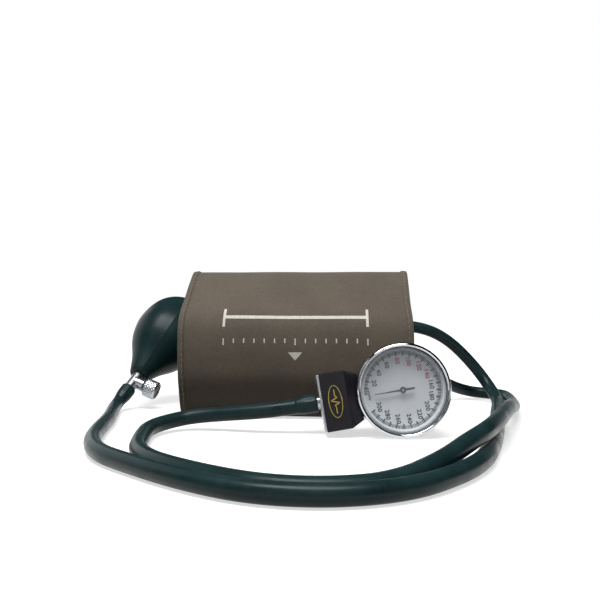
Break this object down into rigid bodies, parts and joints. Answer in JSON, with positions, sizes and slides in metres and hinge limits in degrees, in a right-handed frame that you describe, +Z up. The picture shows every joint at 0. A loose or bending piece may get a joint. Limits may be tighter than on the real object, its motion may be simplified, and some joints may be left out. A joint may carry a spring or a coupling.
{
  "type": "blood pressure monitor",
  "caption": "Rolled arm cuff with two rubber tubes to a hand bulb with release valve and a round dial gauge with pointer, for measuring blood pressure by hand.",
  "frame": {"origin": "on the floor, under the middle of the cuff's roll", "axes": "+X along the roll's axis, from the bulb's end to the tubes' end; +Y to the back, away from the gauge's dial; +Z up"},
  "size_m": [0.2836, 0.303, 0.0954],
  "materials": {
    "cuff_cloth": "woven olive-brown cloth",
    "lining_cloth": "woven olive-brown cloth",
    "bladder_rubber": "matt",
    "hook_tape": "hook and loop pile",
    "tube_rubber": "dark green-black, satin",
    "bulb_rubber": "dark green-black, satin",
    "seal_rubber": "matt",
    "clear_glass": "clear",
    "dial_enamel": "printed, satin",
    "black_enamel": "satin",
    "black_plastic": "satin black",
    "badge_enamel": "plain black",
    "brass": "turned",
    "steel": "plain",
    "chrome": "polished",
    "case_paint": "satin black"
  },
  "bodies": {
    "monitor": {"badge": "badge_enamel", "bezel_ring": "chrome", "bladder": "bladder_rubber", "bridge_pillars": "brass", "bridge_screws": "steel", "bulb": "bulb_rubber", "bulb_tube": "tube_rubber", "clip_rivets": "steel", "crystal": "clear_glass", "cuff_lining": "lining_cloth", "cuff_outer_cloth": "cuff_cloth", "dial_plate": "dial_enamel", "end_plate": "chrome", "gauge_case": "case_paint", "gauge_tube": "tube_rubber", "hairspring": "steel", "hanging_clip": "steel", "hook_patch": "hook_tape", "hose_nipple": "chrome", "inlet_cage_ring": "chrome", "inlet_housing": "chrome", "left_edge_binding": "cuff_cloth", "loop_patch": "hook_tape", "movement_bridge": "brass", "movement_plate": "brass", "neck_block": "black_plastic", "outlet_seat": "chrome", "pressure_capsule": "brass", "right_edge_binding": "cuff_cloth", "seal_ring": "seal_rubber", "valve_body": "chrome"},
    "pointer_set": {"pointer": "black_enamel", "pointer_arbor": "steel"},
    "sector": {"sector_gear": "brass"},
    "needle": {"release_needle": "steel"},
    "knob": {"thumb_knob": "chrome"},
    "inlet_check": {"inlet_ball": "steel"},
    "outlet_check": {"outlet_ball": "steel"}
  },
  "joints": [
    {"name": "pointer_turn", "type": "hinge", "parent": "monitor", "child": "pointer_set", "pos_m": [0.0622, -0.101, 0.02573], "axis": [-0.0695, 0.9945, -0.0785], "range_deg": [0, 334]},
    {"name": "sector_swing", "type": "hinge", "parent": "monitor", "child": "sector", "pos_m": [0.07636, -0.09982, 0.0281], "axis": [0.0695, -0.9945, 0.0785], "range_deg": [0, 41.75], "stiffness_Nm_per_rad": 0.02, "springref_deg": -5.73},
    {"name": "needle_travel", "type": "slide", "parent": "monitor", "child": "needle", "axis": [0.9251, -0.047, -0.3769], "range_m": [0, 0.00112]},
    {"name": "knob_turn", "type": "hinge", "parent": "needle", "child": "knob", "pos_m": [-0.11589, 0.00049, 0.01862], "axis": [0.9251, -0.047, -0.3769], "range_deg": [0, 450]},
    {"name": "inlet_ball_lift", "type": "slide", "parent": "monitor", "child": "inlet_check", "axis": [0.2812, 0.752, 0.5962], "range_m": [0, 0.001]},
    {"name": "outlet_ball_lift", "type": "slide", "parent": "monitor", "child": "outlet_check", "axis": [0.2812, 0.752, 0.5962], "range_m": [0, 0.001]}
  ],
  "couplings": [
    {"joint": "pointer_turn", "follows": "sector_swing", "ratio": 8},
    {"joint": "needle_travel", "follows": "knob_turn", "m_per_rad": 0.00014324}
  ]
}
